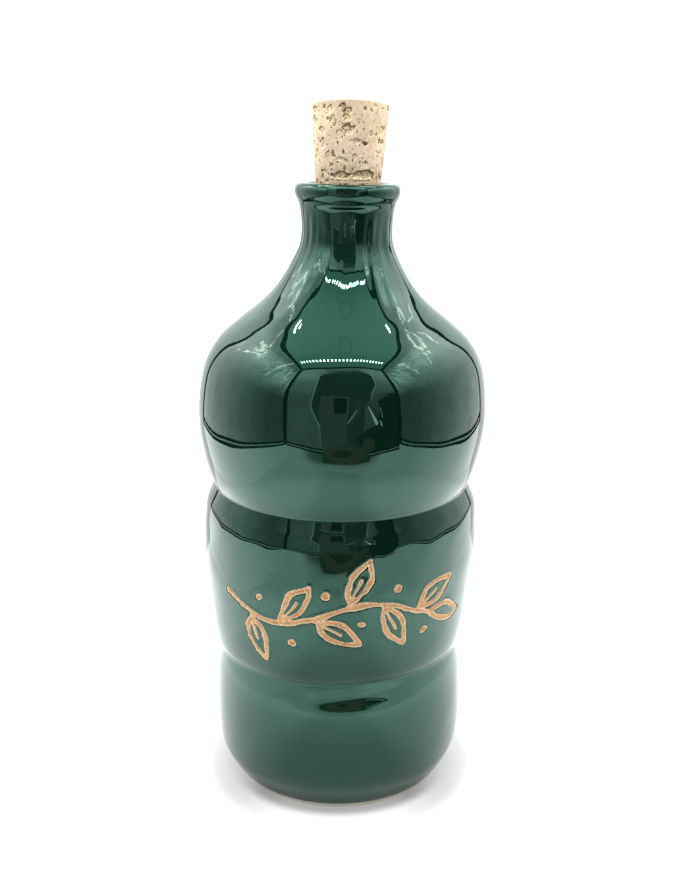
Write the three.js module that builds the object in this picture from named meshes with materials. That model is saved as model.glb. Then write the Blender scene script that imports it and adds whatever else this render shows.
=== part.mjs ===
// A hand-thrown ceramic bottle shut by a tapered cork, in millimetres, +Z up.
// The origin is the centre of the foot, on the surface that the bottle stands on.

import * as THREE from 'three';

// Driving dimensions
const grooveHeight = 52.6; // turned groove between the foot ring and the middle band
const grooveRadius = 45.2;
const creaseHeight = 116.8; // turned crease between the middle band and the belly
const creaseRadius = 46.9;
const neckHeight = 210; // narrowest place of the neck
const neckRadius = 16.1;
const lipTop = 224.7; // highest circle of the rolled lip
const mouthRadius = 12.9; // where the lip rolls over into the mouth
const mouthHeight = 223.6;
const corkTop = 251.2;
const corkTopRadius = 13.5;
const corkDepth = 11; // how far the cork goes down into the mouth
const corkTaper = 0.06; // radius lost for each millimetre down
const fitGap = 0.3; // left between the cork and the mouth
const sidesRound = 60; // flat sides of each turned piece

// Each turned stretch of the bottle is a smooth curve through stations of [radius, height].
const footRing = [
  [37.6, 0],
  [41.1, 4],
  [44.5, 10],
  [46.2, 16],
  [46.95, 28],
  [47, 38],
  [46.6, 46],
  [grooveRadius, grooveHeight],
];
const middleBand = [
  [grooveRadius, grooveHeight],
  [47, 57],
  [48.8, 66],
  [50, 78],
  [50.65, 92],
  [50.5, 104],
  [49.7, 110],
  [48.3, 113.4],
  [creaseRadius, creaseHeight],
];
const bellyAndShoulder = [
  [creaseRadius, creaseHeight],
  [48.8, 121.6],
  [50.6, 128.4],
  [52.1, 137],
  [52.5, 145],
  [51.6, 155],
  [49.3, 163],
  [44.8, 170],
  [38.1, 176],
  [30.7, 182],
  [25.1, 188],
  [20, 196],
  [16.6, 203.5],
  [neckRadius, neckHeight],
  [16.6, 215.4],
];
const rolledLip = [
  [16.6, 215.4],
  [17.4, 218.1],
  [18.5, 219.8],
  [19.1, 221.9],
  [18.5, 223.8],
  [16.7, lipTop],
  [14.5, 224.5],
  [mouthRadius, mouthHeight],
];

const glaze = new THREE.MeshStandardMaterial({ color: 0x1d3f36, roughness: 0.12, metalness: 0 });
const corkBark = new THREE.MeshStandardMaterial({ color: 0xd9c29a, roughness: 0.9, metalness: 0 });

// Points along the smooth curve through the stations, without the last one.
function alongCurve(stations, steps) {
  const curve = new THREE.SplineCurve(stations.map(([radius, height]) => new THREE.Vector2(radius, height)));
  return curve.getPoints(steps).slice(0, -1);
}

// Turns an outline that starts and ends on the axis about +Z.
function turned(name, outline, material) {
  const geometry = new THREE.LatheGeometry(outline, sidesRound);
  geometry.rotateX(Math.PI / 2);
  const mesh = new THREE.Mesh(geometry, material);
  mesh.name = name;
  return mesh;
}

function corkRadiusAt(height) {
  return corkTopRadius - corkTaper * (corkTop - height);
}

// The bottle is shut by its cork, so it is one solid with a socket for the cork in its mouth.
function makeBottle() {
  const socketTop = mouthHeight - 1;
  const socketFloor = lipTop - corkDepth - fitGap;
  const outline = [
    new THREE.Vector2(0, 0),
    ...alongCurve(footRing, 12),
    ...alongCurve(middleBand, 14),
    ...alongCurve(bellyAndShoulder, 26),
    ...alongCurve(rolledLip, 12),
    new THREE.Vector2(mouthRadius, mouthHeight),
    new THREE.Vector2(corkRadiusAt(socketTop) + fitGap, socketTop),
    new THREE.Vector2(corkRadiusAt(socketFloor) + fitGap, socketFloor),
    new THREE.Vector2(0, socketFloor),
  ];
  return turned('bottle', outline, glaze);
}

// The cork is a tapered plug with a slightly worn top edge.
function makeCork() {
  const foot = lipTop - corkDepth;
  const wornEdge = 0.6;
  const outline = [
    new THREE.Vector2(0, foot),
    new THREE.Vector2(corkRadiusAt(foot), foot),
    new THREE.Vector2(corkRadiusAt(corkTop - wornEdge), corkTop - wornEdge),
    new THREE.Vector2(corkTopRadius - wornEdge, corkTop),
    new THREE.Vector2(0, corkTop),
  ];
  return turned('cork', outline, corkBark);
}

const corkedBottle = new THREE.Group();
corkedBottle.add(makeBottle(), makeCork());

export default corkedBottle;
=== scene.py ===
import math
import bpy
import numpy as np
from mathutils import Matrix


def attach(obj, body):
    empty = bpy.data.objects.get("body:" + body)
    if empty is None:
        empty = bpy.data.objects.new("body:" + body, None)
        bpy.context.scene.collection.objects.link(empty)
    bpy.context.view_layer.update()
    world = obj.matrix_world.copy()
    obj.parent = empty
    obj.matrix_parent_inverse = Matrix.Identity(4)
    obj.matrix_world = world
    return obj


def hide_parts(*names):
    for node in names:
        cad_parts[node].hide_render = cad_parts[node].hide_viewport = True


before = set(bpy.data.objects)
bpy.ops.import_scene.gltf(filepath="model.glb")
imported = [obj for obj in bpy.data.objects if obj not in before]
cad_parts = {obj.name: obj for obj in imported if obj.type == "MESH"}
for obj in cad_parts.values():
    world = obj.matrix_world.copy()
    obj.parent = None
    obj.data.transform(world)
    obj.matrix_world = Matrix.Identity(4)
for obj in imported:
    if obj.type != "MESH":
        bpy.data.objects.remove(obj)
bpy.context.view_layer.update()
mm = 0.001  # the shapes are worked out in millimetres and stored in metres


# Camera, at the photograph's viewing angle

cameraSettings = {
    "imageHeight": 875,  # pixels
    "focalPixels": 1300,
    "distance": 462,  # mm in front of the bottle's axis
    "height": 269,  # mm above the surface
    "sideways": 4.4,  # mm, puts the bottle a little left of the middle
    "lookDown": 16.53,  # degrees
}


def makeCamera(s):
    data = bpy.data.cameras.new("camera")
    data.sensor_fit = "VERTICAL"
    data.sensor_height = 36
    data.lens = s["focalPixels"] / s["imageHeight"] * data.sensor_height
    camera = bpy.data.objects.new("camera", data)
    camera.location = (s["sideways"] * mm, -s["distance"] * mm, s["height"] * mm)
    camera.rotation_euler = (math.radians(90 - s["lookDown"]), 0, 0)
    bpy.context.scene.collection.objects.link(camera)
    bpy.context.scene.camera = camera


makeCamera(cameraSettings)
print("camera placed")


# Shader maths: a Wire is one output socket, and arithmetic on it adds Math nodes

class Wire:
    def __init__(self, shader, socket):
        self.shader = shader
        self.socket = socket

    def math(self, operation, *values):
        inputs = dict(enumerate(values))
        return self.shader.node("ShaderNodeMath", {"operation": operation}, inputs)

    def __add__(self, other):
        return self.math("ADD", self, other)

    def __radd__(self, other):
        return self.math("ADD", other, self)

    def __sub__(self, other):
        return self.math("SUBTRACT", self, other)

    def __rsub__(self, other):
        return self.math("SUBTRACT", other, self)

    def __mul__(self, other):
        return self.math("MULTIPLY", self, other)

    def __rmul__(self, other):
        return self.math("MULTIPLY", other, self)

    def __truediv__(self, other):
        return self.math("DIVIDE", self, other)

    def __abs__(self):
        return self.math("ABSOLUTE", self)

    def root(self):
        return self.math("SQRT", self)

    def lower(self, other):
        return self.math("MINIMUM", self, other)

    def higher(self, other):
        return self.math("MAXIMUM", self, other)


class Shader:
    def __init__(self, name):
        self.material = bpy.data.materials.new(name)
        self.material.use_nodes = True
        self.tree = self.material.node_tree
        self.tree.nodes.clear()

    # adds one node: its settings first, then the values or wires of its sockets
    def node(self, kind, settings=None, inputs=None, output=0):
        made = self.tree.nodes.new(kind)
        for key, value in (settings or {}).items():
            setattr(made, key, value)
        for key, value in (inputs or {}).items():
            if isinstance(value, Wire):
                self.tree.links.new(value.socket, made.inputs[key])
            else:
                made.inputs[key].default_value = value
        return Wire(self, made.outputs[output]) if made.outputs else made

    def place(self):
        return self.node("ShaderNodeTexCoord", output="Object")

    def axes(self, vector):
        split = self.node("ShaderNodeSeparateXYZ", inputs={0: vector}).socket.node
        return [Wire(self, out) for out in split.outputs]

    def stretched(self, vector, x, y, z):
        return self.node("ShaderNodeVectorMath", {"operation": "MULTIPLY"}, {0: vector, 1: (x, y, z)})

    # noise about 0.5, at so many bumps for each millimetre
    def noise(self, vector, perMm, detail=2.0, rough=0.5):
        inputs = {"Vector": vector, "Scale": perMm / mm, "Detail": detail, "Roughness": rough}
        return self.node("ShaderNodeTexNoise", {}, inputs)

    # 0 below low, 1 above high, smooth between; low may be the larger
    def step(self, value, low, high):
        inputs = {"Value": value, "From Min": low, "From Max": high}
        return self.node("ShaderNodeMapRange", {"interpolation_type": "SMOOTHSTEP"}, inputs)

    def mix(self, factor, first, second):
        first = first if isinstance(first, Wire) else (*first, 1)
        second = second if isinstance(second, Wire) else (*second, 1)
        inputs = {0: factor, 6: first, 7: second}
        return self.node("ShaderNodeMix", {"data_type": "RGBA"}, inputs, output=2)

    # a colour made lighter or darker by a factor
    def shade(self, colour, factor):
        inputs = {0: colour, "Scale": factor}
        return self.node("ShaderNodeVectorMath", {"operation": "SCALE"}, inputs)

    def bump(self, height, depthMm, normal=None):
        inputs = {"Height": height, "Distance": depthMm * mm, "Strength": 1.0}
        if normal:
            inputs["Normal"] = normal
        return self.node("ShaderNodeBump", {}, inputs)

    def finish(self, surface):
        self.node("ShaderNodeOutputMaterial", {}, {"Surface": surface})
        return self.material

    def finishGlow(self, colour, strength=1):
        return self.finish(self.node("ShaderNodeEmission", {}, {"Color": colour, "Strength": strength}))


# Mesh helpers

# points: rows by columns by 3 in mm; each row is a ring that closes on itself, and the
# first and the last ring are closed by a pole
def makeTurnedMesh(name, points, firstPole, lastPole):
    rows, columns = points.shape[:2]
    vertices = np.vstack([points.reshape(-1, 3), [firstPole], [lastPole]]) * mm
    index = np.arange(rows * columns).reshape(rows, columns)
    after = np.roll(index, -1, axis=1)
    quads = np.stack([index[:-1], after[:-1], after[1:], index[1:]], axis=-1).reshape(-1, 4)
    pole = np.full(columns, rows * columns)
    firstFan = np.stack([after[0], index[0], pole], axis=-1)
    lastFan = np.stack([index[-1], after[-1], pole + 1], axis=-1)
    corners = np.concatenate([quads.ravel(), firstFan.ravel(), lastFan.ravel()]).astype(np.int32)
    sizes = np.concatenate([np.full(len(quads), 4), np.full(2 * columns, 3)]).astype(np.int32)
    starts = np.concatenate([[0], np.cumsum(sizes)[:-1]]).astype(np.int32)
    mesh = bpy.data.meshes.new(name)
    mesh.vertices.add(len(vertices))
    mesh.vertices.foreach_set("co", vertices.astype(np.float32).ravel())
    mesh.loops.add(len(corners))
    mesh.loops.foreach_set("vertex_index", corners)
    mesh.polygons.add(len(sizes))
    mesh.polygons.foreach_set("loop_start", starts)
    mesh.polygons.foreach_set("loop_total", sizes)
    mesh.polygons.foreach_set("use_smooth", np.ones(len(sizes), dtype=bool))
    mesh.update(calc_edges=True)
    mesh.validate()
    piece = bpy.data.objects.new(name, mesh)
    bpy.context.scene.collection.objects.link(piece)
    return piece


def storeAttribute(piece, name, values):
    attribute = piece.data.attributes.new(name, "FLOAT", "POINT")
    attribute.data.foreach_set("value", values.astype(np.float32))


# a smooth curve through stations: each span is a cubic whose slope at a station is half the
# difference of its two neighbours
def smoothCurve(stations, count):
    points = np.asarray(stations, float)
    place = np.linspace(0, len(points) - 1, count)
    span = np.minimum(place.astype(int), len(points) - 2)
    part = (place - span)[:, None]
    start, end = points[span], points[span + 1]
    before = points[np.maximum(span - 1, 0)]
    after = points[np.minimum(span + 2, len(points) - 1)]
    leaving = (end - before) / 2
    arriving = (after - start) / 2
    cubed = 2 * start - 2 * end + leaving + arriving
    squared = 3 * end - 3 * start - 2 * leaving - arriving
    return cubed * part**3 + squared * part**2 + leaving * part + start


# places along a length whose spacing follows a wish given at each sample of the length
def spacedPlaces(samples, wish):
    steps = np.diff(samples) / ((wish[1:] + wish[:-1]) / 2)
    counted = np.concatenate([[0], np.cumsum(steps)])
    total = int(round(counted[-1]))
    return np.interp(np.linspace(0, counted[-1], total + 1), counted, samples)


# smooth random waves over an angle and a height: a seeded sum of sines that closes round the piece
def wavyField(seed, angle, height, turns, wavelength, count=14):
    rng = np.random.default_rng(seed)
    total = np.zeros(np.broadcast(angle, height).shape)
    for _ in range(count):
        around = rng.integers(turns[0], turns[1] + 1)
        along = 2 * np.pi / rng.uniform(*wavelength) * rng.choice([-1, 1])
        total += np.sin(around * angle + along * height + rng.uniform(0, 2 * np.pi))
    return total / math.sqrt(count / 2)


# The incised sprig on the middle band, in millimetres along and up the wall

sprigSettings = {
    "middleHeight": 82,
    "halfLength": 47,
    "wave": 4.5,  # rise and fall of the stem
    "waveLength": 66,
    "waveShift": 6,  # mm to the left
    "leafLength": 19,
    "leafWidth": 3.5,  # how far each edge bows out
    "leafStep": 12.4,  # between leaves, which stand on alternate sides
    "leafLean": 52,  # degrees from the stem
    "leafStalk": 2.2,
    "berryOut": 7.5,  # from the stem
    "lineHalfWidth": 0.95,
    "veinHalfWidth": 0.6,
    "berryRadius": 1.5,
    "depth": 0.85,
    "rim": 0.16,  # raised edge left beside the cut
}


# an arc from a to c that bends towards b: the squared blend of the three
def bezier(a, b, c, count=14):
    t = np.linspace(0, 1, count)[:, None]
    return (1 - t) ** 2 * np.asarray(a) + 2 * t * (1 - t) * np.asarray(b) + t**2 * np.asarray(c)


# the stem is a sine; each leaf is two arcs from its base to its tip with a vein between
def sprigLines(s):
    def phase(x):
        return 2 * np.pi * (x + s["waveShift"]) / s["waveLength"]

    def stem(x):
        return s["middleHeight"] + s["wave"] * np.sin(phase(x))

    end = s["halfLength"] - 12
    along = np.linspace(-s["halfLength"] + 2, end, 60)
    lines = [(np.stack([along, stem(along)], axis=1), s["lineHalfWidth"])]
    count = int(2 * (s["halfLength"] - 8) / s["leafStep"])
    places = (np.arange(count) - (count - 1) / 2) * s["leafStep"] - 3
    for number, x in enumerate(places):
        side = 1 if number % 2 else -1
        slope = math.atan(s["wave"] * 2 * np.pi / s["waveLength"] * math.cos(phase(x)))
        lean = slope + side * math.radians(s["leafLean"])
        forward = np.array([math.cos(lean), math.sin(lean)])
        across = np.array([-forward[1], forward[0]])
        base = np.array([x, stem(x)])
        heel = base + s["leafStalk"] * forward
        tip = base + s["leafLength"] * forward
        belly = heel + 0.42 * (tip - heel)
        lines.append((np.stack([base, heel]), s["lineHalfWidth"] * 0.8))
        lines.append((bezier(heel, belly + 2 * s["leafWidth"] * across, tip), s["lineHalfWidth"]))
        lines.append((bezier(heel, belly - 2 * s["leafWidth"] * across, tip), s["lineHalfWidth"]))
        lines.append((np.stack([heel, heel + 0.55 * (tip - heel)]), s["veinHalfWidth"]))
        beside = x + s["leafStep"] * 0.4
        berry = np.array([beside, stem(beside) - side * s["berryOut"]])
        lines.append((np.stack([berry, berry + 0.01]), s["berryRadius"]))
    # the last leaf points along the stem
    tip = np.array([end + s["leafLength"] * 0.85, stem(end) - 4])
    for bow in (1.7, -1.7):
        middle = (np.array([end, stem(end)]) + tip) / 2 + [0, bow * s["leafWidth"]]
        lines.append((bezier((end, stem(end)), middle, tip), s["lineHalfWidth"]))
    return lines


farFromLines = 9.0  # mm, what the distance is where no line is near


# distance in mm from each point to the nearest edge of a line: negative inside the line
def distanceToLines(x, y, lines, widen):
    nearest = np.full(x.shape, farFromLines)
    for points, halfWidth in lines:
        low = points.min(axis=0) - 4
        high = points.max(axis=0) + 4
        close = (x > low[0]) & (x < high[0]) & (y > low[1]) & (y < high[1])
        px, py = x[close], y[close]
        best = np.full(px.shape, farFromLines)
        for a, b in zip(points[:-1], points[1:]):
            d = b - a
            t = np.clip(((px - a[0]) * d[0] + (py - a[1]) * d[1]) / max(d @ d, 1e-9), 0, 1)
            best = np.minimum(best, np.hypot(px - a[0] - t * d[0], py - a[1] - t * d[1]))
        nearest[close] = np.minimum(nearest[close], best - halfWidth * widen[close])
    return nearest


# The bottle

bottleSettings = {
    # smooth stretches of (radius, height) in mm, which meet at the turned lines and under the lip
    "footRing": [(37.6, 0), (41.1, 4), (44.5, 10), (46.2, 16), (46.95, 28), (47, 38), (46.6, 46),
                 (45.2, 52.6)],
    "middleBand": [(45.2, 52.6), (47, 57), (48.8, 66), (50, 78), (50.65, 92), (50.5, 104),
                   (49.7, 110), (48.3, 113.4), (46.9, 116.8)],
    "belly": [(46.9, 116.8), (48.8, 121.6), (50.6, 128.4), (52.1, 137), (52.5, 145), (51.6, 155),
              (49.3, 163), (44.8, 170), (38.1, 176), (30.7, 182), (25.1, 188), (20, 196),
              (16.6, 203.5), (16.1, 210), (16.6, 215.4)],
    "lip": [(16.6, 215.4), (17.2, 218), (18, 219.7), (18.55, 221), (18.75, 222.4), (18.5, 223.8),
            (17.5, 224.8), (15.8, 225), (14.2, 224.6), (12.9, 223.6), (11.95, 222), (11.7, 218.5),
            (11.5, 213.4)],
    # the underside
    "undersideEdge": 36.6,
    "undersideHollow": 0.8,
    "undersideHollowEdge": 33,
    # mm between rows of vertices, and between columns
    "coarse": 1.75,
    "columnCoarse": 1.9,
    "fine": 0.47,  # both, in the incised sprig
    "atLine": 0.45,  # at a turned line
    "atLip": 0.45,
    "atFoot": 0.5,
    "lipFrom": 214,  # height
    "footTo": 4,
    "sprigRows": (60, 105),
    "sprigAngle": 60,  # degrees to each side of the front
    "bandRadius": 50.0,  # where millimetres along the wall are measured
    # a finger hollow above the foot ring, in front
    "hollowHeight": 47.0,
    "hollowDepth": 1.0,
    "hollowReach": 2.5,
    "hollowAngle": 9,  # degrees to the right
    "hollowSpread": 46,
    "hollowRise": 2.3,  # mm up for each radian to the right
    # the front is a little full below the neck and flat above it
    "throatHeight": 190,
    "throatReach": 8,
    "throatFull": 1.35,
    "throatFlat": 0.3,
    "throatSpread": 80,
    # a low roll under the front of the lip
    "rollHeight": 218.1,
    "rollOut": 0.6,
    "rollReach": 0.8,
    "rollSpread": 66,
    "flutes": 0.08,  # depth of the upright waves that fingers left on the neck
    "unevenness": 0.05,  # of the whole wall
    # finger waves: height and how strong they are there, in mm
    "ripple": [(0, 0.012), (60, 0.012), (88, 0.018), (104, 0.034), (117, 0.03), (130, 0.010),
               (160, 0.010), (176, 0.016), (190, 0.0), (225, 0.0)],
    # how the hand-made form departs from a true turned one: height, shift to the side, fall to
    # the right and fall to the front, in mm and degrees
    "lean": [(0, 0, -0.4, 0), (53, 0, -0.6, -1.3), (80, 0.3, -0.1, 0), (117, 1.0, 0.3, 1.2),
             (145, 1.6, 0.6, 0), (185, 2.6, 0.8, 0), (205, 3.2, 0.9, -1.5), (224, 3.6, 1.0, -3.0),
             (252, 4.0, 1.0, -3.0)],
}


# moves points to where the hand-made form has them: aside by the shift at their height, and
# down by the two falls times their distance from the axis
def leanPoints(points, s):
    table = np.array(s["lean"], float)
    height = points[..., 2]
    shift = np.interp(height, table[:, 0], table[:, 1])
    right = np.radians(np.interp(height, table[:, 0], table[:, 2]))
    front = np.radians(np.interp(height, table[:, 0], table[:, 3]))
    moved = points.copy()
    fade = np.clip(height / 6, 0, 1)
    moved[..., 2] += fade * (-points[..., 0] * np.tan(right) + points[..., 1] * np.tan(front))
    moved[..., 0] += shift
    return moved


# smooth from 0 at low to 1 at high
def smoothStep(value, low, high):
    t = np.clip((value - low) / (high - low), 0, 1)
    return t * t * (3 - 2 * t)


# 1 at the middle angle, falling as a squared cosine to 0 at the spread on each side
def frontWindow(angle, middle, spread):
    away = np.clip((angle - math.radians(middle)) / math.radians(spread), -1, 1)
    return np.cos(away * np.pi / 2) ** 2


# how far the hand-made wall stands out from the turned one, in mm, over angle and height
def handWork(angle, height, s):
    wall = s["unevenness"] * wavyField(1, angle, height, (2, 7), (30, 90))
    ripple = np.interp(height, *np.array(s["ripple"]).T)
    wall = wall + ripple * wavyField(2, angle, height, (4, 22), (10, 30))
    neck = np.clip((height - 180) / 20, 0, 1) * np.clip((217 - height) / 6, 0, 1)
    wall = wall + s["flutes"] * neck * wavyField(23, angle, height, (12, 36), (22, 90))

    middle = s["hollowHeight"] + s["hollowRise"] * angle
    hollow = s["hollowDepth"] * np.exp(-(((height - middle) / s["hollowReach"]) ** 2 / 2))
    wall = wall - hollow * frontWindow(angle, s["hollowAngle"], s["hollowSpread"])

    roll = s["rollOut"] * np.exp(-(((height - s["rollHeight"]) / s["rollReach"]) ** 2 / 2))
    wall = wall + roll * frontWindow(angle, 0, s["rollSpread"])

    throat, reach = s["throatHeight"], s["throatReach"]
    below = smoothStep(height, throat + reach, throat - reach)
    full = s["throatFull"] * below * smoothStep(height, 150, throat - reach)
    flat = s["throatFlat"] * (1 - below) * smoothStep(height, 216, throat + reach)
    return wall + (full - flat) * frontWindow(angle, 0, s["throatSpread"])


# the rows of the wall, from the foot's edge up over the lip into the socket: each row's radius
# and height, the direction out of the wall there, and how steeply the wall climbs
def bottleRows(s):
    stretches = [smoothCurve(s[name], 500)[:-1] for name in ("footRing", "middleBand", "belly", "lip")]
    outline = np.vstack([*stretches, [s["lip"][-1]]])
    length = np.concatenate([[0], np.cumsum(np.hypot(*np.diff(outline, axis=0).T))])
    heights = outline[:, 1]
    inSprig = (heights > s["sprigRows"][0]) & (heights < s["sprigRows"][1])
    nearLine = np.minimum(abs(heights - s["footRing"][-1][1]), abs(heights - s["middleBand"][-1][1]))
    plain = np.clip(s["atLine"] + 0.28 * nearLine, s["atLine"], s["coarse"])
    wish = np.where(inSprig, s["fine"], plain)
    wish = np.where(heights < s["footTo"], s["atFoot"], wish)
    wish = np.where(heights > s["lipFrom"], s["atLip"], wish)
    rows = spacedPlaces(length, wish)
    radius = np.interp(rows, length, outline[:, 0])
    height = np.interp(rows, length, outline[:, 1])
    climb = np.gradient(height, rows)
    along = np.stack([np.gradient(radius, rows), climb])
    along /= np.hypot(*along)
    return radius, height, (along[1], -along[0]), climb


# the angles of the columns, closer together in front, where the sprig is
def bottleColumns(s):
    circle = np.linspace(-180, 180, 2001)
    wish = np.where(abs(circle) < s["sprigAngle"], s["fine"], s["columnCoarse"])
    return np.radians(spacedPlaces(circle, wish / (math.radians(1) * s["bandRadius"]))[:-1])


# how far the wall stands out for the sprig: a rounded cut with a torn floor and a raised rim;
# the second value is the distance to the edge of the nearest line
def inciseSprig(angle, height, sprig, s):
    x = np.broadcast_to(angle * s["bandRadius"], (len(height), len(angle)))
    y = np.broadcast_to(height[:, None], x.shape)
    wobble = wavyField(5, angle[None, :], y, (3, 40), (4, 14))
    drift = 0.22 * wavyField(6, angle[None, :], y, (2, 24), (9, 30))
    edge = distanceToLines(x + drift, y - drift, sprigLines(sprig), 1 + 0.13 * wobble)
    floor = np.clip(-edge / sprig["lineHalfWidth"], 0, 1)
    roughFloor = 1 + 0.16 * wavyField(7, angle[None, :], y, (60, 190), (1.6, 4))
    cut = -sprig["depth"] * (1 - (1 - floor) ** 2.2) * roughFloor
    rim = sprig["rim"] * np.exp(-(((edge - 0.35) / 0.32) ** 2)) * (1 + 0.4 * wobble)
    return cut + rim, edge


# rings from near the middle of the underside out to the foot's edge, with a slight hollow
def undersideRings(angle, s):
    radius = np.linspace(s["undersideEdge"], 4, 12)[::-1]
    hollow = s["undersideHollow"] * np.clip((s["undersideHollowEdge"] - radius) / 3, 0, 1)
    x = radius[:, None] * np.sin(angle)
    y = -radius[:, None] * np.cos(angle)
    return np.stack([x, y, np.broadcast_to(hollow[:, None], x.shape)], axis=-1)


# the outline is turned round the axis, moved out along its normal by the relief, and leaned
def makeBottle(s, sprig):
    radius, height, outward, climb = bottleRows(s)
    angle = bottleColumns(s)
    incised, edge = inciseSprig(angle, height, sprig, s)
    y = np.broadcast_to(height[:, None], edge.shape)
    aboveFoot = np.clip(height / 5, 0, 1)[:, None]
    outside = np.clip((climb + 0.2) / 0.4, 0, 1)[:, None]
    relief = incised + handWork(angle[None, :], y, s) * aboveFoot * outside

    r = radius[:, None] + relief * outward[0][:, None]
    z = height[:, None] + relief * outward[1][:, None]
    wall = np.stack([r * np.sin(angle), -r * np.cos(angle), np.maximum(z, 0)], axis=-1)
    underside = undersideRings(angle, s)
    points = leanPoints(np.concatenate([underside, wall]), s)
    socketFloor = leanPoints(np.array([0, 0, s["lip"][-1][1]], float), s)
    bottle = makeTurnedMesh("glazedBottle", points, (0, 0, s["undersideHollow"]), socketFloor)
    edge = np.concatenate([np.full(underside.shape[:2], farFromLines), edge]).ravel()
    storeAttribute(bottle, "cutEdge", np.concatenate([edge, [farFromLines, farFromLines]]))
    return bottle


bottle = makeBottle(bottleSettings, sprigSettings)
print("bottle made:", len(bottle.data.vertices), "vertices")


# The glaze, with bare clay in the cut lines and below the glaze's edge at the foot

glazeSettings = {
    "colour": (0.0006, 0.0085, 0.0048),
    "pooled": (0.0004, 0.005, 0.0033),
    "tint": (0.48, 1.0, 0.80),  # of the reflection seen straight on
    "refraction": 1.6,
    "roughness": 0.015,
    "clayDark": (0.50, 0.24, 0.10),
    "clay": (0.68, 0.42, 0.235),
    "clayPale": (0.80, 0.64, 0.44),
    "footClay": (0.52, 0.49, 0.40),
    "glazeEnd": 2.3,  # mm above the surface
}


def makeGlaze(s):
    m = Shader("greenGlaze")
    place = m.place()
    height = m.axes(place)[2] / mm
    cutEdge = m.node("ShaderNodeAttribute", {"attribute_name": "cutEdge"}, output="Fac")

    cloud = m.noise(place, 0.05, 3)
    grain = m.noise(place, 0.9, 3, 0.6)
    ragged = m.noise(place, 1.1, 3, 0.65)
    speck = m.noise(place, 2.4, 2, 0.6)

    pooled = m.step(cutEdge, 0.95, 0.2)
    green = m.mix(m.step(cloud, 0.3, 0.75), s["colour"], [c * 1.35 for c in s["colour"]])
    green = m.mix(pooled * 0.8, green, s["pooled"])
    green = m.shade(green, 0.2 + grain * 0.5 + m.step(speck, 0.3, 0.7) * 1.1)

    clayMix = m.mix(m.step(ragged, 0.35, 0.62), s["clayDark"], s["clay"])
    pale = m.step(cutEdge + (speck - 0.5) * 0.5, -0.42, -0.05)
    clayMix = m.mix(pale * 0.85, clayMix, s["clayPale"])
    clayMix = m.mix(m.step(speck, 0.63, 0.72) * 0.6, clayMix, s["clayDark"])
    bare = m.step(cutEdge + (ragged - 0.5) * 0.42, 0.10, -0.06)

    foot = m.step(height + (ragged - 0.5) * 0.8, s["glazeEnd"] + 0.12, s["glazeEnd"] - 0.12)
    footClay = m.shade(s["footClay"], 0.7 + speck * 0.3 + grain * 0.3)
    colour = m.mix(bare, green, clayMix)
    colour = m.mix(foot, colour, footClay)
    matte = bare.higher(foot)

    # slow waves of the thrown wall, fine orange-peel of the glaze and the torn clay
    waves = m.noise(m.stretched(place, 1, 1, 0.7), 0.035, 2, 0.4)
    normal = m.bump(waves, 0.06)
    normal = m.bump(m.noise(place, 0.55, 2, 0.5), 0.004, normal)
    normal = m.bump(m.noise(place, 1.6, 3, 0.7) * matte, 0.35, normal)
    surface = m.node("ShaderNodeBsdfPrincipled", {}, {
        "Base Color": colour,
        "Roughness": s["roughness"] + matte * 0.8 + (1 - matte) * grain * 0.015,
        "IOR": s["refraction"],
        "Specular Tint": (*s["tint"], 1),
        "Normal": normal,
    })
    return m.finish(surface)


bottle.data.materials.append(makeGlaze(glazeSettings))


# The cork

corkSettings = {
    "topHeight": 251.2,
    "topRadius": 13.5,
    "taper": 0.072,
    "footHeight": 213.9,
    "mouth": 222,  # height of the bottle's lip round it
    "tilt": 1.3,  # degrees to the right of the bottle's own lean
    "cut": 9.5,  # degrees by which the top face rises to the front
    "rows": 190,
    "columns": 420,
    "topRings": 30,
    "wornEdge": 0.7,
    # pores that show in front: degrees to the right of the front, then height, half width,
    # half height and depth in mm
    "bigPores": [
        (28, 228.3, 4.2, 1.35, 0.8), (-13, 227.9, 2.9, 1.15, 0.6), (-2, 243.6, 1.9, 1.6, 0.5),
        (-4, 249.3, 1.5, 1.1, 0.7), (-6, 247.3, 1.2, 1.0, 0.5), (-33, 249.6, 1.2, 1.2, 0.3),
        (-26, 246.1, 1.1, 1.5, 0.3), (-48, 243.0, 1.4, 1.2, 0.5), (-47, 239.0, 1.1, 1.7, 0.5),
        (-16, 241.4, 1.7, 1.6, 0.25), (10, 239.5, 3.6, 0.35, 0.35), (18, 238.8, 3.4, 0.3, 0.35),
        (27, 238.4, 0.6, 0.5, 1.4), (-17, 233.5, 0.9, 0.65, 0.3), (28, 231.6, 1.2, 1.0, 0.25),
        (-37, 233.8, 1.0, 1.8, 0.3), (-69, 246.2, 1.8, 1.4, 0.6), (-67, 249.6, 1.8, 1.2, 0.6),
        (-11, 250.9, 1.2, 0.9, 1.0), (57, 243.0, 1.3, 1.4, 0.4), (62, 239.0, 1.3, 1.0, 0.4),
        (-43, 228.6, 1.1, 1.1, 0.3), (28, 226.0, 4.3, 0.25, 0.3), (-15, 226.1, 3.0, 0.25, 0.25),
    ],
    "smallPores": 420,
    "smallPoreHeights": (223, 251),
    "smallPoreDepths": (0.15, 0.55),
    "seed": 11,
}


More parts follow.
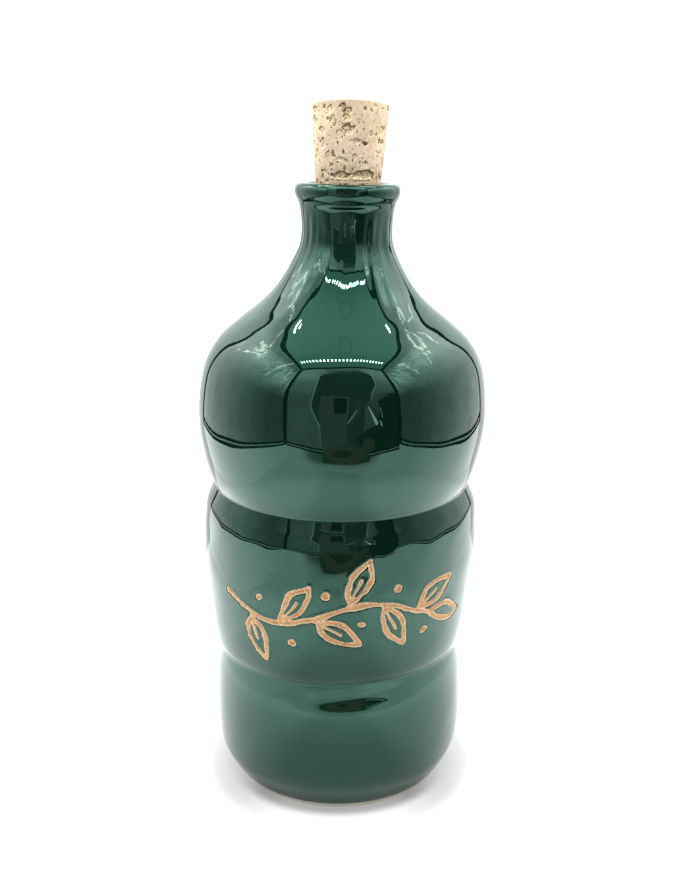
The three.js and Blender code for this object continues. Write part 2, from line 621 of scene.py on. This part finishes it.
# the big pores and small ones at random: angle in radians, then height, half width, half
# height and depth in mm
def corkPores(s):
    rng = np.random.default_rng(s["seed"])
    pores = [(math.radians(pore[0]), *pore[1:]) for pore in s["bigPores"]]
    for _ in range(s["smallPores"]):
        size = 0.22 + 0.8 * rng.random() ** 3
        narrow = rng.uniform(0.45, 1.0)
        wide, tall = (size, size * narrow) if rng.random() < 0.45 else (size * narrow, size * 1.3)
        angle = rng.uniform(-np.pi, np.pi)
        height = rng.uniform(*s["smallPoreHeights"])
        pores.append((angle, height, wide, tall, rng.uniform(*s["smallPoreDepths"])))
    return pores


# how far the cork's side stands out, and how much of its dark and its pale colour it has; height
# is where each point stands on the finished cork, and a pore is a dent with a ragged edge, a
# pebbled floor, a dark upper edge and a pale lower rim; the dark edge is partly painted shade and
# the pale rim partly a painted highlight, weighted to the top and the bottom as by light from above
def corkRelief(angle, height, radius, s):
    relief = 0.07 * wavyField(21, angle, height, (2, 9), (12, 40))
    relief = relief + 0.035 * wavyField(22, angle, height, (20, 70), (1.5, 6))
    ragged = 0.16 * wavyField(23, angle, height, (8, 34), (1.6, 6))
    pebbles = wavyField(24, angle, height, (40, 130), (0.9, 2.6))
    dark = np.zeros(np.broadcast(angle, height).shape)
    pale = dark.copy()
    for poreAngle, poreHeight, wide, tall, depth in corkPores(s):
        turn = (angle - poreAngle + np.pi) % (2 * np.pi) - np.pi
        up = (height - poreHeight) / tall
        far = np.hypot(turn * radius / wide, up) + ragged
        dent = 1 / (1 + np.exp((far - 1) * 8))
        relief = relief - depth * dent * (0.75 + 0.25 * np.cos(far * 3) + 0.22 * pebbles)
        # painted light from above: lit rises towards the pore's lower side, so the dark edge (painted
        # shade) is strongest above and the pale rim (painted highlight) strongest below
        lit = np.clip(0.5 - 0.6 * up, 0, 1)
        strength = min(1.0, 0.35 + depth)
        edge = np.exp(-(((far - 0.95) / 0.2) ** 2)) * strength * (1 - 0.75 * lit)
        rim = np.exp(-(((far - 1.18) / 0.2) ** 2)) * strength * (0.25 + 0.75 * lit)
        dark = np.maximum(dark, np.maximum(edge, dent * min(1.0, 0.22 / wide)))
        pale = np.maximum(pale, np.maximum(rim, dent * (0.3 + 0.25 * pebbles)))
    return relief, np.clip(dark, 0, 1), np.clip(pale, 0, 1)


# the side is a cone with a worn upper edge, whose heights rise to the front above the mouth; the
# top is its last ring drawn in to the middle, and the whole is tilted and leaned
def makeCork(s, bottleForm):
    column = np.linspace(s["footHeight"], s["topHeight"], s["rows"])[:, None]
    radius = s["topRadius"] - s["taper"] * (s["topHeight"] - column)
    fromTop = np.clip((column - (s["topHeight"] - s["wornEdge"])) / s["wornEdge"], 0, 1)
    radius = radius - s["wornEdge"] * (1 - np.sqrt(1 - fromTop**2))
    angle = np.linspace(-np.pi, np.pi, s["columns"], endpoint=False)[None, :]
    cut = math.tan(math.radians(s["cut"]))
    shown = s["topHeight"] - s["mouth"]
    aboveMouth = np.clip((column - s["mouth"]) / shown, 0, None)
    height = column + radius * np.cos(angle) * cut * aboveMouth
    relief, dark, pale = corkRelief(angle, height, radius, s)
    r = radius + relief * np.clip((column - s["mouth"] + 1) / 2.5, 0, 1)
    side = np.stack([r * np.sin(angle), -r * np.cos(angle), height], axis=-1)

    inward = np.linspace(0.965, 0.04, s["topRings"])[:, None]
    topRadius = inward * r[-1]
    grain = 0.10 * wavyField(31, angle, topRadius, (1, 7), (4, 18)) * (1 - inward**6)
    topHeight = s["topHeight"] - 0.05 + grain + topRadius * np.cos(angle) * cut
    top = np.stack([topRadius * np.sin(angle), -topRadius * np.cos(angle), topHeight], axis=-1)
    middle = top[-1].mean(axis=0)
    points = np.concatenate([side.reshape(-1, 3), top.reshape(-1, 3), [middle]])
    tilt = math.tan(math.radians(s["tilt"]))
    points[:, 0] += np.clip(points[:, 2] - s["mouth"], 0, None) * tilt
    points = leanPoints(points, bottleForm)
    foot = leanPoints(np.array([0, 0, s["footHeight"]], float), bottleForm)
    rings = points[:-1].reshape(-1, s["columns"], 3)
    cork = makeTurnedMesh("corkStopper", rings, foot, points[-1])
    # the pore attribute holds dark pores with painted shade on their upper edges, and pale holds pale
    # pore floors with painted highlights on their lower rims
    for name, values in (("pore", dark), ("pale", pale)):
        onTop = values[-1] * inward**8
        storeAttribute(cork, name, np.concatenate([values.ravel(), onTop.ravel(), [0, 0]]))
    return cork


cork = makeCork(corkSettings, bottleSettings)
print("cork made:", len(cork.data.vertices), "vertices")

corkFinish = {
    "light": (0.60, 0.475, 0.33),
    "mid": (0.50, 0.385, 0.265),
    "pink": (0.55, 0.42, 0.335),
    # dark flecks and pores, also the painted shade on the pores' upper edges
    "pore": (0.13, 0.085, 0.02),
    # pale pore floors and rims, also the painted highlight on the rims' lower side
    "rim": (0.80, 0.67, 0.37),
    "roughness": 0.85,
}


def makeCorkBark(s):
    m = Shader("corkBark")
    place = m.place()
    pore = m.node("ShaderNodeAttribute", {"attribute_name": "pore"}, output="Fac")
    pale = m.node("ShaderNodeAttribute", {"attribute_name": "pale"}, output="Fac")
    patches = m.noise(m.stretched(place, 1, 1, 0.6), 0.16, 3, 0.55)
    pinkish = m.noise(m.stretched(place, 1.3, 1.3, 0.8), 0.1, 2, 0.5)
    grain = m.noise(m.stretched(place, 1, 1, 0.8), 0.9, 4, 0.7)
    fleck = m.noise(m.stretched(place, 1.2, 1.2, 0.8), 0.75, 2, 0.6)
    colour = m.mix(m.step(patches, 0.38, 0.66), s["light"], s["mid"])
    colour = m.mix(m.step(pinkish, 0.45, 0.7) * 0.6, colour, s["pink"])
    colour = m.shade(colour, 0.86 + grain * 0.28)
    # pale pore floors and rims, with a painted highlight on the rims' lower side
    colour = m.mix(m.step(pale, 0.15, 0.8) * 0.85, colour, s["rim"])
    colour = m.mix(m.step(fleck, 0.66, 0.74) * 0.35, colour, s["pore"])
    # dark pores and their edges, with painted shade on the edges' upper side
    colour = m.mix(m.step(pore, 0.15, 0.6) * 0.95, colour, s["pore"])
    normal = m.bump(grain, 0.22)
    normal = m.bump(m.noise(place, 2.6, 3, 0.7), 0.07, normal)
    surface = m.node("ShaderNodeBsdfPrincipled", {}, {
        "Base Color": colour,
        "Roughness": s["roughness"],
        "IOR": 1.35,
        "Normal": normal,
    })
    return m.finish(surface)


cork.data.materials.append(makeCorkBark(corkFinish))

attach(bottle, "root")
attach(cork, "root")
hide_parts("bottle")
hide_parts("cork")
print("pieces placed")


# The studio: a pale floor in a white tent whose walls only lights and reflections see

studio = {
    "halfWidth": 220,
    "front": 250,  # mm in front of the bottle
    "back": 205,
    "top": 500,
    "wallFoot": 72,  # below this the floor's sheet curves up
    "seam": 6,  # thickness of the dark piping
    "opening": (-98, 122),  # left and right edge of the gap in the front wall
    "openingTop": 445,
    "bulbStep": 15,
    "bulbReach": 180,
    "bulbSize": (5, 20),
    "bulbDrop": 8,  # below the top
    "bulbRows": (-155, 52),
    "bulbGlow": 90,
    "worldGlow": 1.05,
    "floorReach": 6000,
    "floorColour": (0.3, 0.3, 0.3),
    "floorGlow": 0.75,
    "softLight": 1.9,  # watts
    "softLightDrop": 12,  # below the top
}


def addMesh(name, corners, faces, material, hidden=True):
    mesh = bpy.data.meshes.new(name)
    mesh.from_pydata([tuple(c * mm for c in corner) for corner in corners], [], faces)
    mesh.materials.append(material)
    panel = bpy.data.objects.new(name, mesh)
    bpy.context.scene.collection.objects.link(panel)
    panel.visible_camera = not hidden
    return panel


# one flat face through its corners
def addPanel(name, corners, material, hidden=True):
    return addMesh(name, corners, [tuple(range(len(corners)))], material, hidden)


def makePlainGlow(name, strength, tint=(1, 1, 1)):
    return Shader(name).finishGlow((*tint, 1), strength)


# a wall's glow is a function of where it is; soft is noise about 0.5 for it to use
def makeClothGlow(name, glowAt):
    m = Shader(name)
    place = m.place()
    x, y, z = [axis / mm for axis in m.axes(place)]
    soft = m.noise(m.stretched(place, 1, 1, 0.8), 0.022, 4, 0.65)
    return m.finishGlow(glowAt(m, x, y, z, soft))


# folds that fan out from a corner: streaks over the angle about it, strongest near it
def fanFolds(m, along, down):
    angle = m.node("ShaderNodeMath", {"operation": "ARCTAN2"}, {0: down, 1: along})
    reach = (along * along + down * down).root()
    spot = m.node("ShaderNodeCombineXYZ", {}, {0: angle * 5.5, 1: reach * 0.006})
    inputs = {"Vector": spot, "Scale": 1.0, "Detail": 3.0, "Roughness": 0.6}
    streak = m.node("ShaderNodeTexNoise", {}, inputs)
    ridge = m.step(abs(streak - 0.5), 0.10, 0.0)
    return ridge * m.step(reach, 380, 60)


def makeWalls(s):
    w, f, b, t, foot = s["halfWidth"], -s["front"], s["back"], s["top"], s["wallFoot"]

    def skirt(m, z):
        return m.step(z, foot + 1, foot - 1)

    def sideGlow(m, x, y, z, soft):
        # brighter towards the back, and above the bottle
        low = 0.42 + 1.1 * m.step(y, -190, 60)
        high = 0.9 * m.step(z, 200, 280) + 0.9 * m.step(z, 260, 330)
        high = high * (1 - 0.75 * m.step(z, 385, 450))
        folds = fanFolds(m, y + s["front"], s["top"] - z)
        wrinkles = m.step(abs(soft - 0.5), 0.035, 0.0) * m.step(z, 125, 80)
        weave = 0.78 + 0.44 * m.noise(m.place(), 0.12, 3, 0.75)
        cloth = (low + high * (1 + 1.6 * folds)) * (0.65 + soft * 0.7)
        cloth = cloth * (1 + 0.3 * wrinkles) * weave
        # a pool of light high on the wall
        pool = m.step(abs(y - 35), 120, 10) * m.step(z, 280, 360) * m.step(z, 460, 380)
        cloth = cloth + 1.6 * pool * (0.3 + soft + folds)
        # the floor's sheet, which is a little brighter on the left
        smooth = 2.4 + 0.5 * m.step(y, -220, -40) - x * 0.0007
        return cloth * (1 - skirt(m, z)) + smooth * skirt(m, z)

    def frontGlow(m, x, y, z, soft):
        left, right = s["opening"]
        rounded = 45 * m.step(z, s["openingTop"] - 55, s["openingTop"])
        leftEdge = left + 40 * m.step(z, 190, 115) + rounded
        rightEdge = right - 28 * m.step(z, 310, 215) - rounded
        within = (x - leftEdge).lower(rightEdge - x).lower(s["openingTop"] - z)
        opening = m.step(within, -1.5, 1.5) * m.step(z, 24, 30)
        hem = m.step(abs(within + 4), 3.0, 1.2) * m.step(z, 80, 110)
        cloth = 0.75 + 0.45 * m.step(z, 225, 290)
        cloth = cloth + 1.3 * m.step(abs(x), 60, 130) * m.step(z, 290, 420)
        cloth = cloth * (0.75 + soft * 0.5) + 1.1 * hem
        smooth = 2.0 + 0.4 * m.step(abs(x), 60, 150)
        smooth = smooth - 1.4 * m.step(z, 8, 42) * m.step(abs(x), 150, 90)
        cloth = cloth * (1 - skirt(m, z)) + smooth * skirt(m, z)
        inside = 0.14 + soft * 0.12 + 0.3 * m.step(z, 390, 440)
        return cloth * (1 - opening) + opening * inside

    def backGlow(m, x, y, z, soft):
        tint = m.mix(m.step(z, 120, 180), (1, 1, 1), (0.92, 1.06, 1.0))
        return m.shade(tint, (1.3 + 0.4 * m.step(z, 160, 300)) * (0.8 + soft * 0.4))

    # a round seam in the top shows as a faint ring
    def topGlow(m, x, y, z, soft):
        away = ((x - 9) * (x - 9) + (y + 73) * (y + 73)).root()
        seam = m.step(abs(away - 22), 2.5, 1.0)
        glow = (1.05 + 0.4 * m.step(y, -170, -30)) * (1 - 0.3 * seam) * (0.93 + soft * 0.14)
        return m.shade((0.9, 1.35, 1.22), glow)

    sides = makeClothGlow("sideCloth", sideGlow)
    for name, x in (("tentLeft", -w), ("tentRight", w)):
        addPanel(name, [(x, f, 0), (x, b, 0), (x, b, t), (x, f, t)], sides)
    for name, y, cloth, glowAt in (("tentFront", f, "frontCloth", frontGlow),
                                   ("tentBack", b, "backCloth", backGlow)):
        corners = [(-w, y, 0), (w, y, 0), (w, y, t), (-w, y, t)]
        addPanel(name, corners, makeClothGlow(cloth, glowAt))
    corners = [(-w, f, t), (w, f, t), (w, b, t), (-w, b, t)]
    addPanel("tentTop", corners, makeClothGlow("topCloth", topGlow))


# a straight square bar along one axis of the tent
def addBar(name, start, end, size, material):
    ranges = [(min(a, c) - size / 2, max(a, c) + size / 2) for a, c in zip(start, end)]
    corners = [(x, y, z) for x in ranges[0] for y in ranges[1] for z in ranges[2]]
    faces = [(0, 1, 3, 2), (4, 6, 7, 5), (0, 4, 5, 1), (2, 3, 7, 6), (0, 2, 6, 4), (1, 5, 7, 3)]
    addMesh(name, corners, faces, material)


# each seam of the tent is a thin light cord between two dark bands
def makeSeams(s):
    dark = makePlainGlow("darkPiping", 0.03)
    pale = makePlainGlow("palePiping", 1.9)
    w, f, b, t, foot = s["halfWidth"], -s["front"], s["back"], s["top"], s["wallFoot"]
    seam = s["seam"]
    gap = 0.85 * seam  # from the cord to each band beside it
    edges = []
    for side in (-1, 1):
        x = side * w
        inward = (-side * gap, 0, 0)
        edges.append(((x, f, foot), (x, f, t), (0, gap, 0), inward))
        edges.append(((x, b, foot), (x, b, t), (0, -gap, 0), inward))
        edges.append(((x, f, t), (x, b, t), (0, 0, -gap), inward))
        edges.append(((x, f, foot), (x, b, foot), (0, 0, gap), (0, 0, -gap)))
    edges.append(((-w, f, t), (w, f, t), (0, 0, -gap), (0, gap, 0)))
    edges.append(((-w, f, foot), (-60, f, foot), (0, 0, gap), (0, 0, -gap)))
    edges.append(((90, f, foot - 18), (w, f, foot - 18), (0, 0, gap), (0, 0, -gap)))
    for number, (start, end, oneSide, otherSide) in enumerate(edges):
        thick = 1.5 if end[2] == t else 1  # the seams that reach the top are thicker
        addBar("paleSeam%02d" % number, start, end, seam * 0.4 * thick, pale)
        for name, shift in (("darkSeamA%02d", oneSide), ("darkSeamB%02d", otherSide)):
            moved = [tuple(a + c * thick for a, c in zip(point, shift)) for point in (start, end)]
            addBar(name % number, *moved, seam * thick, dark)


# two rows of small bulbs under the tent's top
def makeBulbs(s):
    glow = makePlainGlow("bulbs", s["bulbGlow"])
    wide, deep = (size / 2 for size in s["bulbSize"])
    z = s["top"] - s["bulbDrop"]
    for number, y in enumerate(s["bulbRows"]):
        corners = []
        faces = []
        for x in np.arange(-s["bulbReach"], s["bulbReach"] + 1, s["bulbStep"]):
            faces.append(tuple(range(len(corners), len(corners) + 4)))
            corners += [(x - wide, y - deep, z), (x - wide, y + deep, z)]
            corners += [(x + wide, y + deep, z), (x + wide, y - deep, z)]
        row = addMesh("bulbRow%d" % number, corners, faces, glow)
        row.visible_diffuse = False
        row.visible_shadow = False


# what stands in the gap of the front wall: a box with a dark window, crumpled cloth on the
# right and a low heap; each card is an outline of (across, up) in mm, and depth is how far it
# stands inside the wall
def makeFrontThings(s):
    def card(name, outline, depth, strength, tint=(1, 1, 1)):
        corners = [(x, -s["front"] + depth, z) for x, z in outline]
        addPanel(name, corners, makePlainGlow(name, strength, tint))

    def oval(x, z, halfWidth, halfHeight):
        turn = np.linspace(0, 2 * np.pi, 24, endpoint=False)
        return [(x + halfWidth * math.cos(a), z + halfHeight * math.sin(a)) for a in turn]

    flap = [(105, 200), (165, 236), (220, 250), (220, 62), (70, 62), (50, 108), (108, 124)]
    card("flap", flap, 2, 0.07)
    card("clothA", [(74, 188), (100, 206), (159, 247), (162, 226), (118, 193)], 3, 0.55)
    card("clothB", [(74, 188), (118, 193), (122, 152)], 4, 0.5)
    card("clothC", [(74, 188), (122, 152), (109, 125)], 4, 0.3)
    card("clothD", [(74, 188), (109, 125), (70, 116)], 4, 0.55)
    card("clothE", [(74, 188), (70, 116), (22, 116)], 4, 0.22)
    card("clothF", [(74, 188), (22, 116), (44, 166)], 4, 0.4)
    card("clothG", [(74, 188), (39, 214), (26, 190), (44, 166)], 4, 0.3)
    card("foldA", [(83, 173), (86, 172), (103, 145), (117, 125), (108, 123), (97, 142)], 5, 4.5)
    card("foldB", [(44, 165), (47, 162), (22, 133), (19, 135)], 5, 2.0)
    card("foldC", [(122, 169), (125, 168), (131, 150), (133, 137), (130, 138), (128, 150)], 5, 2.4)
    card("foldD", [(121, 131), (124, 131), (134, 120), (128, 120)], 5, 3.0)
    card("stand", [(-66, 160), (17, 160), (24, 66), (-56, 66)], 4.5, 0.42)
    card("box", [(-66, 158), (17, 158), (17, 217), (-66, 217)], 6, 0.5, (1.2, 0.75, 1.0))
    card("boxEdge", [(-66, 217), (17, 217), (17, 158), (19, 158), (19, 219), (-66, 219)], 6.5, 0.9)
    card("window", [(-24, 159), (13, 159), (13, 213), (-24, 213)], 7, 0.05)
    brown = (1.3, 0.8, 0.6)
    card("heap", oval(12, 62, 62, 30), 8, 0.36, brown)
    card("heapEnd", oval(84, 84, 21, 21), 7.5, 0.3, brown)
    card("heapShade", oval(6, 66, 30, 12), 9, 0.14, brown)


# bright creases of the side walls: points of (towards the back, up, half width) in mm
glints = {
    "left": [
        [(120, 392, 2), (92, 388, 26), (62, 378, 30), (30, 366, 26), (5, 350, 16), (-12, 340, 2)],
        [(-94, 285, 1), (-98, 330, 4), (-108, 385, 7), (-128, 440, 6), (-145, 480, 1)],
        [(118, 478, 1), (80, 440, 7), (42, 398, 5), (38, 350, 1)],
        [(-186, 300, 1), (-180, 370, 3), (-182, 440, 1)],
        [(135, 284, 1), (108, 305, 8), (62, 334, 9), (36, 358, 2)],
    ],
    "right": [
        [(50, 328, 1), (70, 362, 7), (96, 388, 7), (118, 412, 1)],
        [(116, 438, 1), (98, 418, 14), (72, 396, 12), (36, 352, 5), (-8, 290, 1)],
        [(-140, 412, 1), (-104, 404, 10), (-90, 352, 8), (-84, 292, 1)],
        [(150, 330, 1), (140, 372, 6), (128, 404, 1)],
    ],
}


# each crease is a strip of uneven width along a smooth curve, and noise breaks up its glow
def makeGlints(s, creases):
    m = Shader("crease")
    place = m.place()
    grain = m.noise(m.stretched(place, 1, 1, 0.6), 0.05, 3, 0.7)
    bright = m.finishGlow(m.shade((1.15, 1.0, 1.0), 2.4 + 8 * m.step(grain, 0.36, 0.62)))
    count = 40
    faces = [(k, k + 1, k + count + 1, k + count) for k in range(count - 1)]
    for side, x in (("left", -s["halfWidth"] + 2), ("right", s["halfWidth"] - 2)):
        for number, points in enumerate(creases[side]):
            path = smoothCurve(points, count)
            slope = np.gradient(path[:, :2], axis=0)
            across = np.stack([-slope[:, 1], slope[:, 0]], axis=1) / np.hypot(*slope.T)[:, None]
            uneven = 1 + 0.35 * np.sin(np.arange(count) * 1.9 + number)
            half = path[:, 2:] * uneven[:, None]
            edges = np.concatenate([path[:, :2] - half * across, path[:, :2] + half * across])
            corners = [(x, y, z) for y, z in edges]
            addMesh("crease%s%d" % (side, number), corners, faces, bright)


# the floor glows to white, but less beside the foot, where the bottle shades it
def makeFloor(s):
    m = Shader("paleFloor")
    x, y, _ = [axis / mm for axis in m.axes(m.place())]
    away = (x * x + y * y).root()
    # a soft ring at the sides, and a tight one in front and behind
    shade = 0.33 * m.step(away, 58, 48) * m.step(abs(x), 15, 42)
    shade = shade + 0.45 * m.step(away, 46, 40) * m.step(abs(x), 42, 25)
    # brighter towards the walls, but not up against them
    far = 1.1 * m.step(away, 70, 180) - 0.75 * m.step(away, 200, 245)
    glow = s["floorGlow"] - shade + 0.55 * m.step(abs(x), 35, 80) + far
    surface = m.node("ShaderNodeBsdfPrincipled", {}, {
        "Base Color": (*s["floorColour"], 1),
        "Roughness": 0.8,
        "Specular IOR Level": 0.1,
        "Emission Color": glow,
        "Emission Strength": 1,
    })
    reach = s["floorReach"]
    corners = [(-reach, -reach, 0), (reach, -reach, 0), (reach, reach, 0), (-reach, reach, 0)]
    addPanel("floor", corners, m.finish(surface), hidden=False)


def makeLights(s):
    data = bpy.data.lights.new("softLight", "AREA")
    data.shape = "SQUARE"
    data.size = 1.8 * s["halfWidth"] * mm
    data.energy = s["softLight"]
    light = bpy.data.objects.new("softLight", data)
    light.location = (0, 0, (s["top"] - s["softLightDrop"]) * mm)
    light.visible_glossy = False
    light.visible_camera = False
    bpy.context.scene.collection.objects.link(light)
    world = bpy.data.worlds.new("whiteRoom")
    world.use_nodes = True
    background = world.node_tree.nodes["Background"]
    background.inputs["Color"].default_value = (1, 1, 1, 1)
    background.inputs["Strength"].default_value = s["worldGlow"]
    bpy.context.scene.world = world


makeWalls(studio)
makeSeams(studio)
makeBulbs(studio)
makeFrontThings(studio)
makeGlints(studio, glints)
makeFloor(studio)
makeLights(studio)
bpy.context.scene.view_settings.view_transform = "Standard"
print("studio made")
